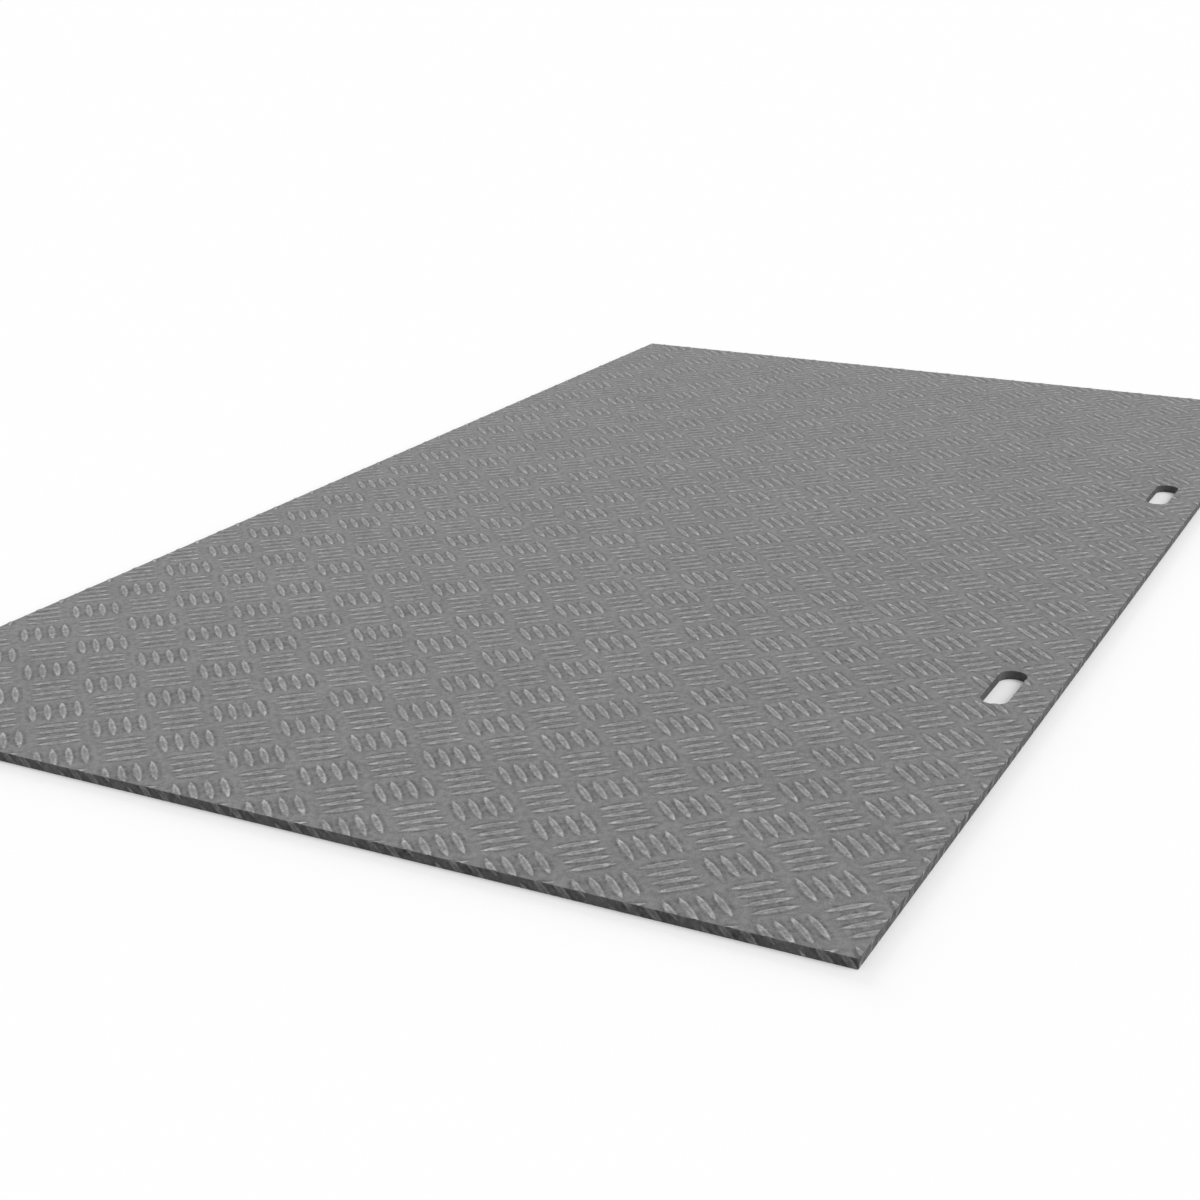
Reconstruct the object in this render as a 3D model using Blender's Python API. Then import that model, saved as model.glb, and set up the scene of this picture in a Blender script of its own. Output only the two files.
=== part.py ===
"""Ground protection mat: one moulded polyethylene board, with two hand slots along one long edge.

Metres, +Z up. The origin is at the centre of the underside, and the length runs along X. The hand
slots lie along the -Y edge, and the deck is the flat top face.
"""

import math

import bpy

# The board
MAT_LENGTH = 2.000
MAT_WIDTH = 1.150
MAT_THICKNESS = 0.010
CORNER_RADIUS = 0.0010
EDGE_ROUND = 0.0006

# The hand slots, with full round ends
SLOT_LENGTH = 0.100
SLOT_WIDTH = 0.030
SLOT_END_DISTANCE = 0.600
SLOT_EDGE_DISTANCE = 0.055

# How finely the round stretches are divided
CORNER_STEPS = 4
SLOT_END_STEPS = 20
EDGE_ROUND_RESOLUTION = 1

# The finish
MAT_COLOUR = (0.20, 0.20, 0.20, 1.0)
MAT_ROUGHNESS = 0.55


def clear_scene():
    for obj in list(bpy.data.objects):
        bpy.data.objects.remove(obj, do_unlink=True)


def new_collection(name):
    collection = bpy.data.collections.new(name)
    bpy.context.scene.collection.children.link(collection)
    return collection


def plastic(name, colour, roughness):
    material = bpy.data.materials.new(name)
    material.use_nodes = True
    shader = material.node_tree.nodes["Principled BSDF"]
    shader.inputs["Base Color"].default_value = colour
    shader.inputs["Roughness"].default_value = roughness
    shader.inputs["Metallic"].default_value = 0.0
    material.diffuse_color = colour
    return material


def arc(centre, radius, start, sweep, steps):
    """Points along an arc, both ends included; angles in quarter turns."""
    angles = [(start + sweep * step / steps) * math.pi / 2 for step in range(steps + 1)]
    return [(centre[0] + radius * math.cos(a), centre[1] + radius * math.sin(a)) for a in angles]


def board_outline():
    """The rectangle of the board with its rounded corners, anticlockwise."""
    reach_x = MAT_LENGTH / 2 - CORNER_RADIUS
    reach_y = MAT_WIDTH / 2 - CORNER_RADIUS
    corners = [(reach_x, reach_y), (-reach_x, reach_y), (-reach_x, -reach_y), (reach_x, -reach_y)]
    points = []
    for quarter, centre in enumerate(corners):
        points += arc(centre, CORNER_RADIUS, quarter, 1, CORNER_STEPS)
    return points


def slot_outline(centre_x, centre_y):
    """A slot along X with a half-round at each end, clockwise because it is a hole."""
    end_radius = SLOT_WIDTH / 2
    straight = SLOT_LENGTH / 2 - end_radius
    right_end = arc((centre_x + straight, centre_y), end_radius, 1, -2, SLOT_END_STEPS)
    left_end = arc((centre_x - straight, centre_y), end_radius, 3, -2, SLOT_END_STEPS)
    return right_end + left_end


def slot_centres():
    from_middle = MAT_LENGTH / 2 - SLOT_END_DISTANCE
    centre_y = SLOT_EDGE_DISTANCE - MAT_WIDTH / 2
    return [(-from_middle, centre_y), (from_middle, centre_y)]


def add_closed_spline(curve, points):
    spline = curve.splines.new("POLY")
    spline.points.add(len(points) - 1)
    for point, (x, y) in zip(spline.points, points):
        point.co = (x, y, 0.0, 1.0)
    spline.use_cyclic_u = True


def board_curve():
    """The flat outline with its slots, thickened evenly about z = 0, with its rims rounded."""
    curve = bpy.data.curves.new("board_outline", "CURVE")
    curve.dimensions = "2D"
    curve.fill_mode = "BOTH"
    curve.extrude = MAT_THICKNESS / 2 - EDGE_ROUND
    curve.bevel_depth = EDGE_ROUND
    curve.bevel_resolution = EDGE_ROUND_RESOLUTION
    curve.offset = -EDGE_ROUND
    add_closed_spline(curve, board_outline())
    for centre_x, centre_y in slot_centres():
        add_closed_spline(curve, slot_outline(centre_x, centre_y))
    return curve


def build():
    clear_scene()
    collection = new_collection("ground_protection_mat")
    mat = bpy.data.objects.new("ground_mat", board_curve())
    mat.location.z = MAT_THICKNESS / 2
    mat.data.materials.append(plastic("grey_polyethylene", MAT_COLOUR, MAT_ROUGHNESS))
    collection.objects.link(mat)


build()
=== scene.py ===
"""Looks of the ground protection mat: its raised tread, its plastic, the light and the camera."""

import math

import bmesh
import bpy
from mathutils import Matrix, Vector


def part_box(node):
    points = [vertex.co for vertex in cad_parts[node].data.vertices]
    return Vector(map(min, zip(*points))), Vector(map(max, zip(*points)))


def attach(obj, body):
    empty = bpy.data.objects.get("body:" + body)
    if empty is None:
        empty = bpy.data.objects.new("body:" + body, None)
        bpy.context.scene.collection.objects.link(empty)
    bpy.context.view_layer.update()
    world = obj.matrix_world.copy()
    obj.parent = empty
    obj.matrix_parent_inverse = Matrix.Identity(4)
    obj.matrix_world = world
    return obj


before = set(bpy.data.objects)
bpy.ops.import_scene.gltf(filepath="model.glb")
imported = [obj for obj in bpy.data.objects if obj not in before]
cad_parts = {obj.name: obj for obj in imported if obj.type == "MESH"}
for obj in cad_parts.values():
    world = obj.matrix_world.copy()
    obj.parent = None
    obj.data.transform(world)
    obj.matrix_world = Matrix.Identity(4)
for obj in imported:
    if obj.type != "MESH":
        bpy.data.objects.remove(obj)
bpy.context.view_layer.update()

MM = 0.001

# The board, as far as the tread has to know it
BOARD_LOW, BOARD_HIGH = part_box("ground_mat")
DECK_Z = BOARD_HIGH.z
CORNER_RADIUS = 1.0 * MM
SLOT_LENGTH = 100.0 * MM
SLOT_WIDTH = 30.0 * MM
SLOT_END_DISTANCE = 600.0 * MM
SLOT_EDGE_DISTANCE = 55.0 * MM

# The tread: squares that stand at 45 degrees to the mat, each with four pointed bars side by side. The bars
# of one square run along the rising diagonal, and those of its neighbours along the falling one.
RISING = Vector((1.0, 1.0, 0.0)).normalized()
FALLING = Vector((1.0, -1.0, 0.0)).normalized()
TREAD_REPEAT = 85.5 * MM
SQUARE = TREAD_REPEAT / math.sqrt(2)
BARS_IN_SQUARE = 4
BAR_PITCH = SQUARE / BARS_IN_SQUARE
BAR_LENGTH = 46.5 * MM
BAR_WIDTH = 7.7 * MM
BAR_HEIGHT = 0.5 * MM
# A bar's half width falls off from its middle as this power of the share of the way to its tip
BAR_TAPER = 2.4
# The centre of a square of rising bars, from the near end and from the slot side
FIRST_SQUARE_FROM_END = 16.8 * MM
FIRST_SQUARE_FROM_SIDE = 62.0 * MM
# The edges carry a strip of the same pattern, with the centre of a square this far along them
EDGE_SQUARE_FROM_CORNER = 18.7 * MM

# A bar's section: inset from its outline and height over the deck, from the foot to the crown
BAR_SECTION = [
    (0.0, -0.05 * MM),
    (0.8 * MM, 0.13 * MM),
    (1.8 * MM, 0.36 * MM),
    (2.9 * MM, BAR_HEIGHT),
]
# A bar that the edge or a slot cuts also goes down past the rounded rim of the board
CUT_BAR_DEPTH = 0.9 * MM
# Cut ends stay this far inside the board's own faces
TRIM_INSET = 0.02 * MM
CUTTER_HEIGHT = 20.0 * MM
# How finely each side of a bar, a corner of the board and a round end of a slot are divided
OUTLINE_STEPS = 6
CORNER_STEPS = 4
SLOT_END_STEPS = 20
# Edges of the bars that are sharper than this many degrees aren't shaded smooth
SHARP_EDGE = 50.0

# Greys of the plastic, as linear reflectances
DECK_GREY = 0.198
# The cut's darker grey is partly its own tone and partly painted shade on the upright faces
SAWN_SHADED_GREY = 0.125
# The slots' walls are darker still, which is painted shade inside the slots
SLOT_SHADE_GREY = 0.104
# A wall that lies further than this inside the board's outline belongs to a slot
SLOT_WALL_INSIDE = 20.0 * MM

# Tones of the tread as shares of the deck's grey, and where they end or fade: distances outside a bar's
# outline, or inside it where they are negative
CROWN_TONE = 1.07
CROWN_END = -3.6 * MM
# The pale rim on each bar is a painted highlight along its edge
RIM_HIGHLIGHT_TONE = 1.48
RIM_END = -1.7 * MM
# Just outside the outline, the rim's painted highlight turns into a darker line of painted shade at the
# bar's foot
FOOT_SHADE_TONE = 0.75
FOOT_SHADE_END = 0.9 * MM
OUTLINE_BLUR = (-0.3 * MM, 0.6 * MM)
# Painted shade on the deck round each bar, darkest at its foot and gone at the far end of these distances
PAINTED_SHADE_TONE = 0.69
PAINTED_SHADE_FADES = (1.0 * MM, 6.5 * MM)
# Towards the tips the bar's painted highlight grows brighter and the painted shade round it gets thin, over
# these shares of the way
TIP_HIGHLIGHT_GAIN = 1.29
TIP_HIGHLIGHT_GROWS = (0.2, 0.85)
TIP_PAINTED_SHADE = 0.35
TIP_PAINTED_SHADE_THINS = (0.7, 1.0)

# Unevenness of the finish: the size of its patches, its middle value and its swing to either side of that
CLOUDS = dict(size=110.0 * MM, middle=1.0, swing=0.035)
MOTTLE = dict(size=7.7 * MM, middle=1.0, swing=0.17, roughness=0.8)
GRAIN = dict(size=1.7 * MM, middle=1.0, swing=0.10, detail=1.0)
# How strongly the tread's painted shade and highlights show, from patch to patch
PAINTED_TREAD_SWAY = dict(size=10.0 * MM, middle=0.95, swing=0.83, roughness=0.8)
RAGGED = dict(size=4.2 * MM, middle=0.0, swing=0.4 * MM, detail=2.0)
CHATTER = dict(size=14.0 * MM, middle=1.0, swing=0.20, detail=4.0, roughness=0.7)
SATIN = dict(size=8.3 * MM, middle=0.56, swing=0.06)
RELIEF = dict(size=2.4 * MM, middle=0.5, swing=0.5)
# Noise seldom leaves this range of its 0 to 1
NOISE_LOW = 0.3
NOISE_HIGH = 0.7

# The plastic's gloss
PLASTIC_IOR = 1.5
PLASTIC_SPECULAR = 0.15
# How much duller a saw cut is than the pressed deck, and how deep the fine relief of each is
SAWN_ROUGHER = 0.25
DECK_RELIEF = 0.02 * MM
SAWN_RELIEF = 0.06 * MM
# A face is upright or level by whether the upward part of its direction is under or over this
STEEP = 0.5

# The camera, as the photograph was taken: pixels, millimetres of sensor, metres, and degrees, with its
# heading counted from +X towards +Y
IMAGE_SIDE = 1200
FOCAL_PIXELS = 1903.2
CENTRE_COLUMN = 630.5
CENTRE_ROW = 600.5
SENSOR_WIDTH = 36.0
CAMERA_PLACE = Vector((-2.2569, -1.0013, 0.7821))
CAMERA_HEADING = 26.50
CAMERA_DIP = 19.74
CAMERA_ROLL = -0.11

# The floor: its size, its gap to the mat, and its reflectance as seen and for the light it throws back
FLOOR_SIDE = 80.0
FLOOR_GAP = 0.2 * MM
FLOOR_SEEN = 0.995
FLOOR_BOUNCE = 0.45
FLOOR_ROUGHNESS = 0.9

# The light, as shares of what makes a level white surface white, with the lamps' angles in degrees
WORLD_LIGHT = 0.50
KEY_LIGHT = dict(share=0.40, height=39.0, bearing=-92.0, spread=50.0)
BACK_LIGHT = dict(share=0.10, height=14.0, bearing=42.0, spread=28.0)


class Field:
    """A number that varies over a surface. Arithmetic on it adds Math nodes to the material."""

    def __init__(self, tree, socket):
        self.tree = tree
        self.socket = socket

    def math(self, operation, *others):
        node = self.tree.nodes.new("ShaderNodeMath")
        node.operation = operation
        for socket, value in zip(node.inputs, (self, *others)):
            connect(self.tree, value, socket)
        return Field(self.tree, node.outputs[0])

    def __add__(self, other):
        return self.math("ADD", other)

    def __sub__(self, other):
        return self.math("SUBTRACT", other)

    def __rsub__(self, other):
        return self * -1.0 + other

    def __mul__(self, other):
        return self.math("MULTIPLY", other)

    def __truediv__(self, other):
        return self.math("DIVIDE", other)

    def at_least(self, limit):
        return self.math("MAXIMUM", limit)

    def at_most(self, limit):
        return self.math("MINIMUM", limit)

    def magnitude(self):
        return self.math("ABSOLUTE")

    def above(self, limit):
        """1 where the field is over the limit, 0 elsewhere."""
        return self.math("GREATER_THAN", limit)

    def nearest_whole(self):
        return self.math("ROUND")

    def rest_of(self, period):
        """What is left after whole periods, from 0 to the period, for negative numbers too."""
        return self.math("FLOORED_MODULO", period)

    def power(self, exponent):
        return self.math("POWER", exponent)

    def root(self):
        return self.math("SQRT")

    def blend(self, other, share):
        """This field where share is 0, the other one where it is 1."""
        return self + (other - self) * share

    def ramp(self, low, high, low_value, high_value):
        """A smooth step from low_value at low to high_value at high."""
        node = self.tree.nodes.new("ShaderNodeMapRange")
        node.interpolation_type = "SMOOTHSTEP"
        limits = {"From Min": low, "From Max": high, "To Min": low_value, "To Max": high_value}
        for name, value in limits.items():
            node.inputs[name].default_value = value
        connect(self.tree, self, node.inputs["Value"])
        return Field(self.tree, node.outputs["Result"])


def connect(tree, value, socket):
    if isinstance(value, Field):
        tree.links.new(value.socket, socket)
    else:
        socket.default_value = value


def connect_grey(tree, grey, socket):
    colour = tree.nodes.new("ShaderNodeCombineColor")
    for channel in colour.inputs:
        connect(tree, grey, channel)
    tree.links.new(colour.outputs["Color"], socket)


def new_material(name):
    """A material with its node tree and its Principled shader."""
    material = bpy.data.materials.new(name)
    material.use_nodes = True
    return material, material.node_tree, material.node_tree.nodes["Principled BSDF"]


def coordinates(tree, vector):
    split = tree.nodes.new("ShaderNodeSeparateXYZ")
    tree.links.new(vector, split.inputs[0])
    return [Field(tree, socket) for socket in split.outputs]


def uneven(tree, position, size, middle, swing, detail=3.0, roughness=0.5):
    """A value that wanders round its middle in patches of about this size."""
    texture = tree.nodes.new("ShaderNodeTexNoise")
    texture.inputs["Scale"].default_value = 1.0 / size
    texture.inputs["Detail"].default_value = detail
    texture.inputs["Roughness"].default_value = roughness
    tree.links.new(position, texture.inputs["Vector"])
    noise = Field(tree, texture.outputs["Fac"])
    return noise.ramp(NOISE_LOW, NOISE_HIGH, middle - swing, middle + swing)


def slot_walls(x, y, on_edge):
    """1 on the walls of the hand slots, which lie well inside the board's outline, and 0 elsewhere."""
    # The board's middle is at X = Y = 0
    inside = (BOARD_HIGH.x - x.magnitude()).at_most(BOARD_HIGH.y - y.magnitude())
    return inside.above(SLOT_WALL_INSIDE) * on_edge


def tread_place(x, y, z, on_edge):
    """Place in the tread, from the centre of a square: flat on the deck, and a strip of it on the edges."""
    from_end = x - BOARD_LOW.x
    from_side = y - BOARD_LOW.y
    over_middle = z - (BOARD_LOW.z + DECK_Z) / 2
    along_edge = from_end + from_side - EDGE_SQUARE_FROM_CORNER
    place_x = (from_end - FIRST_SQUARE_FROM_END).blend(over_middle, on_edge)
    place_y = (from_side - FIRST_SQUARE_FROM_SIDE).blend(along_edge, on_edge)
    return place_x, place_y


def distance_to_bar(place_x, place_y):
    """Distance to the nearest bar's outline, negative inside it, and the share of the way to its tip."""
    rising = (place_x + place_y) / math.sqrt(2)
    falling = (place_x - place_y) / math.sqrt(2)
    column = (rising / SQUARE).nearest_whole()
    row = (falling / SQUARE).nearest_whole()
    turned = (column + row).rest_of(2.0)
    in_column = rising - column * SQUARE
    in_row = falling - row * SQUARE
    # In a square of falling bars, along and across change places
    along = in_column.blend(in_row, turned).magnitude()
    across = (in_row.blend(in_column, turned).rest_of(BAR_PITCH) - BAR_PITCH / 2).magnitude()
    past_tip = (along - BAR_LENGTH / 2).at_least(0.0)
    share = along.at_most(BAR_LENGTH / 2) / (BAR_LENGTH / 2)
    half_width = (1.0 - share.power(BAR_TAPER)) * (BAR_WIDTH / 2)
    beside = across - half_width
    outside = beside.at_least(0.0)
    inside = beside.at_most(0.0)
    return (past_tip * past_tip + outside * outside).root() + inside, share


def tread_tone(distance, share):
    """Tone of the tread against the bare deck: painted shade round each bar's foot, a pale rim that is a
    painted highlight, and a greyer crown.
    """
    # Painted shade on the deck round the bar's foot, thinner towards the tips
    painted_shade = distance.ramp(*PAINTED_SHADE_FADES, 1.0 - PAINTED_SHADE_TONE, 0.0) * share.ramp(*TIP_PAINTED_SHADE_THINS, 1.0, TIP_PAINTED_SHADE)
    # From the rim's painted highlight down to the painted shade at the foot
    side = distance.ramp(RIM_END, FOOT_SHADE_END, RIM_HIGHLIGHT_TONE, FOOT_SHADE_TONE)
    crown_drop = distance.ramp(CROWN_END, RIM_END, RIM_HIGHLIGHT_TONE - CROWN_TONE, 0.0)
    # The bar's painted highlight grows brighter towards the tips
    bar = (side - crown_drop) * share.ramp(*TIP_HIGHLIGHT_GROWS, 1.0, TIP_HIGHLIGHT_GAIN)
    on_bar = distance.ramp(*OUTLINE_BLUR, 1.0, 0.0)
    return (1.0 - painted_shade).blend(bar, on_bar)


def polyethylene():
    """Pressed grey plastic on the deck and its bars, and the duller, darker cut of the edges and slots,
    whose darker grey is partly painted shade.
    """
    material, tree, shader = new_material("pressed_polyethylene")
    position = tree.nodes.new("ShaderNodeTexCoord").outputs["Object"]
    direction = tree.nodes.new("ShaderNodeNewGeometry").outputs["Normal"]
    x, y, z = coordinates(tree, position)
    upward = coordinates(tree, direction)[2]
    on_edge = 1.0 - upward.magnitude().above(STEEP)
    in_slot = slot_walls(x, y, on_edge)
    treaded = upward.above(-STEEP) - in_slot

    deck = uneven(tree, position, **CLOUDS) * DECK_GREY
    # The cut's grey is partly painted shade on the upright faces, and on the slot walls it is darker again
    # with painted shade
    cut = uneven(tree, position, **CHATTER) * (in_slot * (SLOT_SHADE_GREY - SAWN_SHADED_GREY) + SAWN_SHADED_GREY)
    speckle = uneven(tree, position, **MOTTLE) * uneven(tree, position, **GRAIN)
    distance, share = distance_to_bar(*tread_place(x, y, z, on_edge))
    tone = tread_tone(distance + uneven(tree, position, **RAGGED), share)
    # The tread's painted shade and highlights, stronger or weaker from patch to patch
    painted_tread = (tone - 1.0) * uneven(tree, position, **PAINTED_TREAD_SWAY) * treaded + 1.0
    connect_grey(tree, deck.blend(cut, on_edge) * speckle * painted_tread, shader.inputs["Base Color"])

    roughness = uneven(tree, position, **SATIN) + on_edge * SAWN_ROUGHER
    connect(tree, roughness, shader.inputs["Roughness"])
    shader.inputs["IOR"].default_value = PLASTIC_IOR
    shader.inputs["Specular IOR Level"].default_value = PLASTIC_SPECULAR

    relief_height = on_edge * (SAWN_RELIEF - DECK_RELIEF) + DECK_RELIEF
    bump = tree.nodes.new("ShaderNodeBump")
    bump.inputs["Strength"].default_value = 1.0
    bump.inputs["Distance"].default_value = 1.0
    connect(tree, uneven(tree, position, **RELIEF) * relief_height, bump.inputs["Height"])
    tree.links.new(bump.outputs["Normal"], shader.inputs["Normal"])
    return material


def bar_ring(inset, height):
    """Points around a bar at one inset, in the bar's own frame, anticlockwise from the tip at +X."""
    tip_slope = BAR_TAPER * BAR_WIDTH / BAR_LENGTH
    tip_setback = inset * math.sqrt(1.0 + 1.0 / tip_slope ** 2)
    half_length = BAR_LENGTH / 2 - tip_setback
    half_width = BAR_WIDTH / 2 - inset
    points = []
    for step in range(2 * OUTLINE_STEPS):
        angle = math.pi * step / OUTLINE_STEPS
        side = 1.0 if step < OUTLINE_STEPS else -1.0
        across = side * half_width * (1.0 - abs(math.cos(angle)) ** BAR_TAPER)
        points.append(Vector((half_length * math.cos(angle), across, height)))
    return points


def bar_rings(cut):
    """The rings of a bar, from its foot to its crown. A bar that will be cut starts deeper."""
    rings = [bar_ring(inset, height) for inset, height in BAR_SECTION]
    if cut:
        rings.insert(0, bar_ring(0.0, -CUT_BAR_DEPTH))
    return rings


def add_bar(mesh, rings, place):
    """One closed bar: a bottom, bands from ring to ring, and a crown."""
    rows = [[mesh.verts.new(place @ point) for point in ring] for ring in rings]
    for lower, upper in zip(rows, rows[1:]):
        for i in range(len(lower)):
            mesh.faces.new((lower[i - 1], lower[i], upper[i], upper[i - 1]))
    mesh.faces.new(reversed(rows[0]))
    mesh.faces.new(rows[-1])


def slot_centres():
    middle = (BOARD_LOW.x + BOARD_HIGH.x) / 2
    from_middle = (BOARD_HIGH.x - BOARD_LOW.x) / 2 - SLOT_END_DISTANCE
    y = BOARD_LOW.y + SLOT_EDGE_DISTANCE
    return [Vector((middle - from_middle, y, DECK_Z)), Vector((middle + from_middle, y, DECK_Z))]


def within(point, low, high, margin):
    """Whether a point lies over a rectangle that is grown on all sides by the margin."""
    return all(low[axis] - margin < point[axis] < high[axis] + margin for axis in (0, 1))


def is_cut(middle):
    """Whether the board's edge or a hand slot may cut the bar with this middle."""
    half_slot = Vector((SLOT_LENGTH / 2, SLOT_WIDTH / 2, 0.0))
    near_slot = any(
        within(middle, centre - half_slot, centre + half_slot, BAR_LENGTH / 2) for centre in slot_centres()
    )
    return near_slot or not within(middle, BOARD_LOW, BOARD_HIGH, -BAR_LENGTH / 2)


def bar_middles(turned):
    """The middle of each rising bar that may touch the board, or where turned is 1, of each falling bar."""
    first = BOARD_LOW + Vector((FIRST_SQUARE_FROM_END, FIRST_SQUARE_FROM_SIDE, 0.0))
    first.z = DECK_Z
    across = RISING if turned else FALLING
    reach = math.ceil((BOARD_HIGH - BOARD_LOW).length / SQUARE)
    for column in range(-reach, reach + 1):
        for row in range(-reach, reach + 1):
            if (column + row) % 2 != turned:
                continue
            centre = first + (RISING * column + FALLING * row) * SQUARE
            for number in range(BARS_IN_SQUARE):
                middle = centre + across * (number - (BARS_IN_SQUARE - 1) / 2) * BAR_PITCH
                if within(middle, BOARD_LOW, BOARD_HIGH, BAR_LENGTH / 2):
                    yield middle


def new_object(name, mesh):
    data = bpy.data.meshes.new(name)
    mesh.to_mesh(data)
    mesh.free()
    obj = bpy.data.objects.new(name, data)
    bpy.context.scene.collection.objects.link(obj)
    return obj


def board_cutter():
    """A tall block with the outline of the board, to trim the bars at its edges."""
    size = BOARD_HIGH - BOARD_LOW
    centre = (BOARD_LOW + BOARD_HIGH) / 2
    mesh = bmesh.new()
    bmesh.ops.create_cube(mesh, size=1.0)
    block = (size.x - 2 * TRIM_INSET, size.y - 2 * TRIM_INSET, CUTTER_HEIGHT)
    bmesh.ops.scale(mesh, vec=block, verts=mesh.verts)
    upright = [e for e in mesh.edges if abs(e.verts[0].co.z - e.verts[1].co.z) > CUTTER_HEIGHT / 2]
    bmesh.ops.bevel(
        mesh, geom=upright, offset=CORNER_RADIUS, segments=CORNER_STEPS, affect="EDGES", profile=0.5
    )
    bmesh.ops.translate(mesh, vec=(centre.x, centre.y, DECK_Z), verts=mesh.verts)
    return new_object("board_cutter", mesh)


def slot_cutter():
    """A tall block for each hand slot, to open the slot through the bars over it."""
    radius = SLOT_WIDTH / 2 + TRIM_INSET
    straight = SLOT_LENGTH / 2 - SLOT_WIDTH / 2
    ring = []
    for end in (1.0, -1.0):
        for step in range(SLOT_END_STEPS + 1):
            angle = math.pi * (step / SLOT_END_STEPS - end / 2)
            ring.append(Vector((end * straight + radius * math.cos(angle), radius * math.sin(angle), 0.0)))
    half_height = Vector((0.0, 0.0, CUTTER_HEIGHT / 2))
    mesh = bmesh.new()
    for centre in slot_centres():
        low = [mesh.verts.new(centre + point - half_height) for point in ring]
        high = [mesh.verts.new(centre + point + half_height) for point in ring]
        mesh.faces.new(reversed(low))
        mesh.faces.new(high)
        for i in range(len(ring)):
            mesh.faces.new((low[i - 1], low[i], high[i], high[i - 1]))
    return new_object("slot_cutter", mesh)


def trim(obj, cutters):
    """Cuts obj with each cutter and leaves a plain mesh."""
    for operation, cutter in cutters:
        modifier = obj.modifiers.new(cutter.name, "BOOLEAN")
        modifier.operation = operation
        modifier.solver = "EXACT"
        modifier.object = cutter
    graph = bpy.context.evaluated_depsgraph_get()
    trimmed = bpy.data.meshes.new_from_object(obj.evaluated_get(graph))
    obj.modifiers.clear()
    obj.data = trimmed


def tread_bars(name, turned, cutters):
    """All bars that run one way, as one mesh of closed bars that sit on the deck."""
    whole, cut = bmesh.new(), bmesh.new()
    whole_rings, cut_rings = bar_rings(False), bar_rings(True)
    along = FALLING if turned else RISING
    turn = Matrix.Rotation(math.atan2(along.y, along.x), 4, "Z")
    for middle in bar_middles(turned):
        place = Matrix.Translation(middle) @ turn
        if is_cut(middle):
            add_bar(cut, cut_rings, place)
        else:
            add_bar(whole, whole_rings, place)
    # Only flat faces are cut cleanly, and a triangle is always flat
    bmesh.ops.triangulate(cut, faces=cut.faces)
    trimmed = new_object(name + "_trimmed", cut)
    trim(trimmed, cutters)
    whole.from_mesh(trimmed.data)
    bpy.data.objects.remove(trimmed)
    bars = new_object(name, whole)
    bars.data.shade_smooth()
    bars.data.set_sharp_from_angle(angle=math.radians(SHARP_EDGE))
    return bars


def make_tread(material):
    cutters = [("INTERSECT", board_cutter()), ("DIFFERENCE", slot_cutter())]
    for turned, name in enumerate(("tread_bars_rising", "tread_bars_falling")):
        bars = tread_bars(name, turned, cutters)
        bars.data.materials.clear()
        bars.data.materials.append(material)
        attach(bars, "root")
    for _, cutter in cutters:
        bpy.data.objects.remove(cutter)


def dress_board(material):
    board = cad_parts["ground_mat"]
    board.data.materials.clear()
    board.data.materials.append(material)


def make_camera():
    data = bpy.data.cameras.new("camera")
    data.sensor_fit = "HORIZONTAL"
    data.sensor_width = SENSOR_WIDTH
    data.lens = SENSOR_WIDTH * FOCAL_PIXELS / IMAGE_SIDE
    data.shift_x = 0.5 - CENTRE_COLUMN / IMAGE_SIDE
    data.shift_y = CENTRE_ROW / IMAGE_SIDE - 0.5
    camera = bpy.data.objects.new("camera", data)
    # A new camera looks down. It is raised to look along +Y, and then turned, dipped and rolled.
    level_north = Matrix.Rotation(math.radians(90.0), 4, "X")
    heading = Matrix.Rotation(math.radians(CAMERA_HEADING - 90.0), 4, "Z")
    dip = Matrix.Rotation(math.radians(-CAMERA_DIP), 4, "X")
    roll = Matrix.Rotation(math.radians(CAMERA_ROLL), 4, "Z")
    camera.matrix_world = Matrix.Translation(CAMERA_PLACE) @ heading @ level_north @ dip @ roll
    bpy.context.scene.collection.objects.link(camera)
    bpy.context.scene.camera = camera


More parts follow.
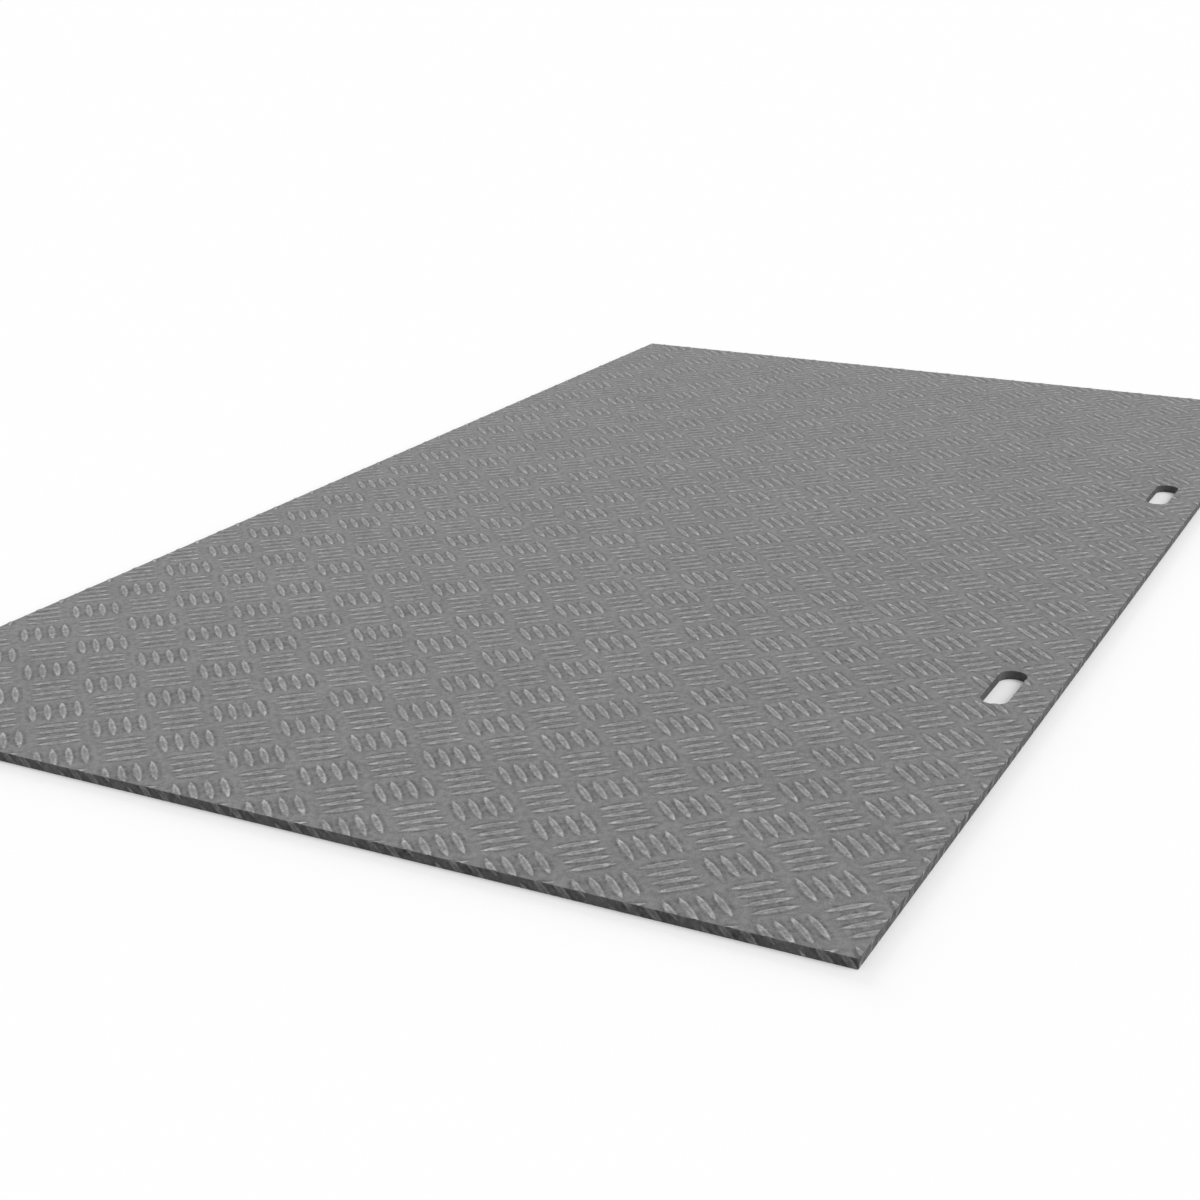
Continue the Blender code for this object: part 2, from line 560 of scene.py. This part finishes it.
def seen_directly(tree):
    """1 for rays that show the surface, straight or in a gloss or a glass, and 0 for its bounced light."""
    path = tree.nodes.new("ShaderNodeLightPath")
    camera = Field(tree, path.outputs["Is Camera Ray"])
    glossy = Field(tree, path.outputs["Is Glossy Ray"])
    through = Field(tree, path.outputs["Is Transmission Ray"])
    return camera.at_least(glossy).at_least(through)


def make_floor():
    material, tree, shader = new_material("pale_floor")
    grey = seen_directly(tree) * (FLOOR_SEEN - FLOOR_BOUNCE) + FLOOR_BOUNCE
    connect_grey(tree, grey, shader.inputs["Base Color"])
    shader.inputs["Roughness"].default_value = FLOOR_ROUGHNESS
    shader.inputs["Specular IOR Level"].default_value = 0.0
    mesh = bmesh.new()
    bmesh.ops.create_grid(mesh, x_segments=1, y_segments=1, size=FLOOR_SIDE / 2)
    floor = new_object("floor", mesh)
    floor.location.z = -FLOOR_GAP
    floor.data.materials.append(material)


def make_world():
    """A white backdrop, which lights the mat only by its share."""
    world = bpy.data.worlds.new("studio")
    world.use_nodes = True
    bpy.context.scene.world = world
    tree = world.node_tree
    background = tree.nodes["Background"]
    background.inputs["Color"].default_value = (1.0, 1.0, 1.0, 1.0)
    strength = seen_directly(tree) * (1.0 - WORLD_LIGHT) + WORLD_LIGHT
    connect(tree, strength, background.inputs["Strength"])


def make_soft_light(name, share, height, bearing, spread):
    """A sun as wide as a studio screen, that gives a level white surface this share of its brightness."""
    up, turn = math.radians(height), math.radians(bearing)
    towards = Vector((math.cos(up) * math.cos(turn), math.cos(up) * math.sin(turn), math.sin(up)))
    data = bpy.data.lights.new(name, "SUN")
    data.angle = math.radians(spread)
    data.energy = share * math.pi / math.sin(up)
    lamp = bpy.data.objects.new(name, data)
    lamp.visible_glossy = False
    lamp.rotation_euler = towards.to_track_quat("Z", "Y").to_euler()
    bpy.context.scene.collection.objects.link(lamp)


def main():
    bpy.context.scene.view_settings.view_transform = "Standard"
    make_camera()
    plastic = polyethylene()
    dress_board(plastic)
    make_tread(plastic)
    make_floor()
    make_world()
    make_soft_light("key", **KEY_LIGHT)
    make_soft_light("back", **BACK_LIGHT)


main()
